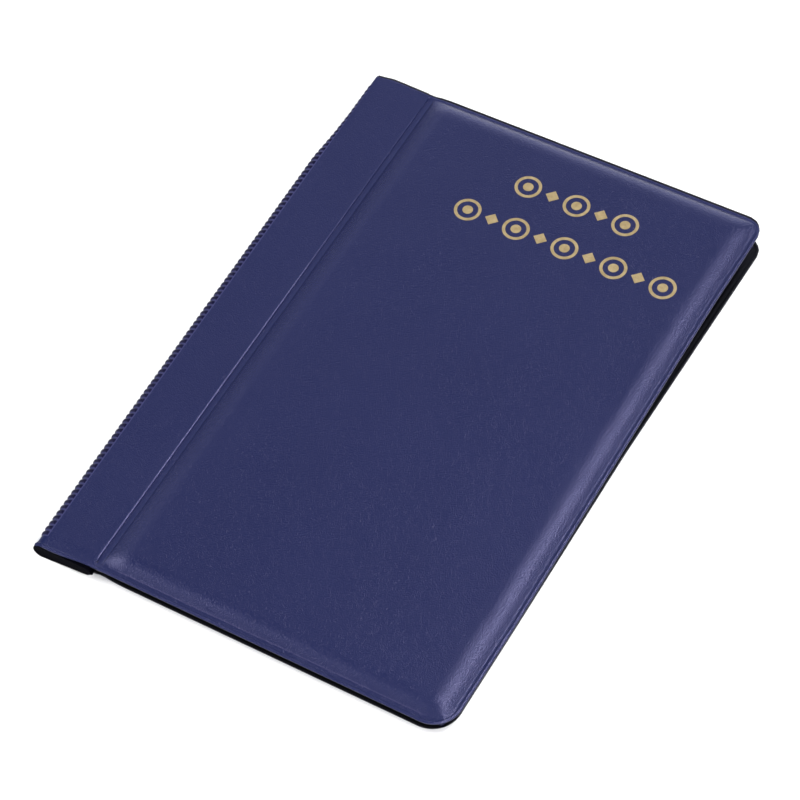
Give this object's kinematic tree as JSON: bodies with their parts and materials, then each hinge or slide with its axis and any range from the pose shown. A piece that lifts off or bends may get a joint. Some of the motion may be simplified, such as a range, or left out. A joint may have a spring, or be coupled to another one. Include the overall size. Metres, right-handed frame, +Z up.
{
  "type": "coin album",
  "caption": "Slim padded vinyl coin album: covers fold at creases beside a ribbed spine and open on clear pocket pages; plain gold foil motif on the front.",
  "frame": {"origin": "middle of the bounding box's bottom face, on the table under the closed album", "axes": "+X from the spine to the fore-edge, +Y from the foot to the head, +Z up through the front cover"},
  "size_m": [0.1372, 0.205, 0.0076],
  "materials": {
    "blue_vinyl": "fine leather grain, satin",
    "black_vinyl": "fine grain, matt",
    "foam": "open-cell foam sheet",
    "board": "grey-brown binder's board",
    "gold_foil": "hot-stamped foil, satin",
    "clear_film": "clear soft PVC film"
  },
  "bodies": {
    "spine": {"spine_skin": "blue_vinyl", "spine_lining": "black_vinyl", "binding_block": "black_vinyl"},
    "front_cover": {"front_skin": "blue_vinyl", "front_foam": "foam", "front_board": "board", "front_lining": "black_vinyl", "foil_motif": "gold_foil"},
    "back_cover": {"back_skin": "blue_vinyl", "back_foam": "foam", "back_board": "board", "back_lining": "black_vinyl"},
    "page_01": {"page_01_leaf": "clear_film", "page_01_pockets": "clear_film", "page_01_flaps": "clear_film"},
    "page_02": {"page_02_leaf": "clear_film", "page_02_pockets": "clear_film", "page_02_flaps": "clear_film"},
    "page_03": {"page_03_leaf": "clear_film", "page_03_pockets": "clear_film", "page_03_flaps": "clear_film"},
    "page_04": {"page_04_leaf": "clear_film", "page_04_pockets": "clear_film", "page_04_flaps": "clear_film"},
    "page_05": {"page_05_leaf": "clear_film", "page_05_pockets": "clear_film", "page_05_flaps": "clear_film"},
    "page_06": {"page_06_leaf": "clear_film", "page_06_pockets": "clear_film", "page_06_flaps": "clear_film"},
    "page_07": {"page_07_leaf": "clear_film", "page_07_pockets": "clear_film", "page_07_flaps": "clear_film"},
    "page_08": {"page_08_leaf": "clear_film", "page_08_pockets": "clear_film", "page_08_flaps": "clear_film"},
    "page_09": {"page_09_leaf": "clear_film", "page_09_pockets": "clear_film", "page_09_flaps": "clear_film"},
    "page_10": {"page_10_leaf": "clear_film", "page_10_pockets": "clear_film", "page_10_flaps": "clear_film"}
  },
  "joints": [
    {"name": "front_cover_hinge", "type": "hinge", "parent": "spine", "child": "front_cover", "pos_m": [-0.04675, 0, 0.0065], "axis": [0, -1, 0], "range_deg": [0, 175]},
    {"name": "back_cover_hinge", "type": "hinge", "parent": "spine", "child": "back_cover", "pos_m": [-0.04675, 0, -0.00015], "axis": [0, 1, 0], "range_deg": [0, 175]},
    {"name": "page_01_turn", "type": "hinge", "parent": "spine", "child": "page_01", "pos_m": [-0.04675, 0, 0.0065], "axis": [0, -1, 0], "range_deg": [0, 171]},
    {"name": "page_02_turn", "type": "hinge", "parent": "spine", "child": "page_02", "pos_m": [-0.04675, 0, 0.0065], "axis": [0, -1, 0], "range_deg": [0, 167]},
    {"name": "page_03_turn", "type": "hinge", "parent": "spine", "child": "page_03", "pos_m": [-0.04675, 0, 0.0065], "axis": [0, -1, 0], "range_deg": [0, 162]},
    {"name": "page_04_turn", "type": "hinge", "parent": "spine", "child": "page_04", "pos_m": [-0.04675, 0, 0.0065], "axis": [0, -1, 0], "range_deg": [0, 158]},
    {"name": "page_05_turn", "type": "hinge", "parent": "spine", "child": "page_05", "pos_m": [-0.04675, 0, 0.0065], "axis": [0, -1, 0], "range_deg": [0, 154]},
    {"name": "page_06_turn", "type": "hinge", "parent": "spine", "child": "page_06", "pos_m": [-0.04675, 0, -0.00015], "axis": [0, 1, 0], "range_deg": [0, 154]},
    {"name": "page_07_turn", "type": "hinge", "parent": "spine", "child": "page_07", "pos_m": [-0.04675, 0, -0.00015], "axis": [0, 1, 0], "range_deg": [0, 158]},
    {"name": "page_08_turn", "type": "hinge", "parent": "spine", "child": "page_08", "pos_m": [-0.04675, 0, -0.00015], "axis": [0, 1, 0], "range_deg": [0, 162]},
    {"name": "page_09_turn", "type": "hinge", "parent": "spine", "child": "page_09", "pos_m": [-0.04675, 0, -0.00015], "axis": [0, 1, 0], "range_deg": [0, 167]},
    {"name": "page_10_turn", "type": "hinge", "parent": "spine", "child": "page_10", "pos_m": [-0.04675, 0, -0.00015], "axis": [0, 1, 0], "range_deg": [0, 171]}
  ],
  "couplings": [
    {"joint": "page_01_turn", "follows": "front_cover_hinge", "ratio": 0.975},
    {"joint": "page_02_turn", "follows": "front_cover_hinge", "ratio": 0.95},
    {"joint": "page_03_turn", "follows": "front_cover_hinge", "ratio": 0.925},
    {"joint": "page_04_turn", "follows": "front_cover_hinge", "ratio": 0.9},
    {"joint": "page_05_turn", "follows": "front_cover_hinge", "ratio": 0.875},
    {"joint": "page_06_turn", "follows": "back_cover_hinge", "ratio": 0.875},
    {"joint": "page_07_turn", "follows": "back_cover_hinge", "ratio": 0.9},
    {"joint": "page_08_turn", "follows": "back_cover_hinge", "ratio": 0.925},
    {"joint": "page_09_turn", "follows": "back_cover_hinge", "ratio": 0.95},
    {"joint": "page_10_turn", "follows": "back_cover_hinge", "ratio": 0.975}
  ]
}
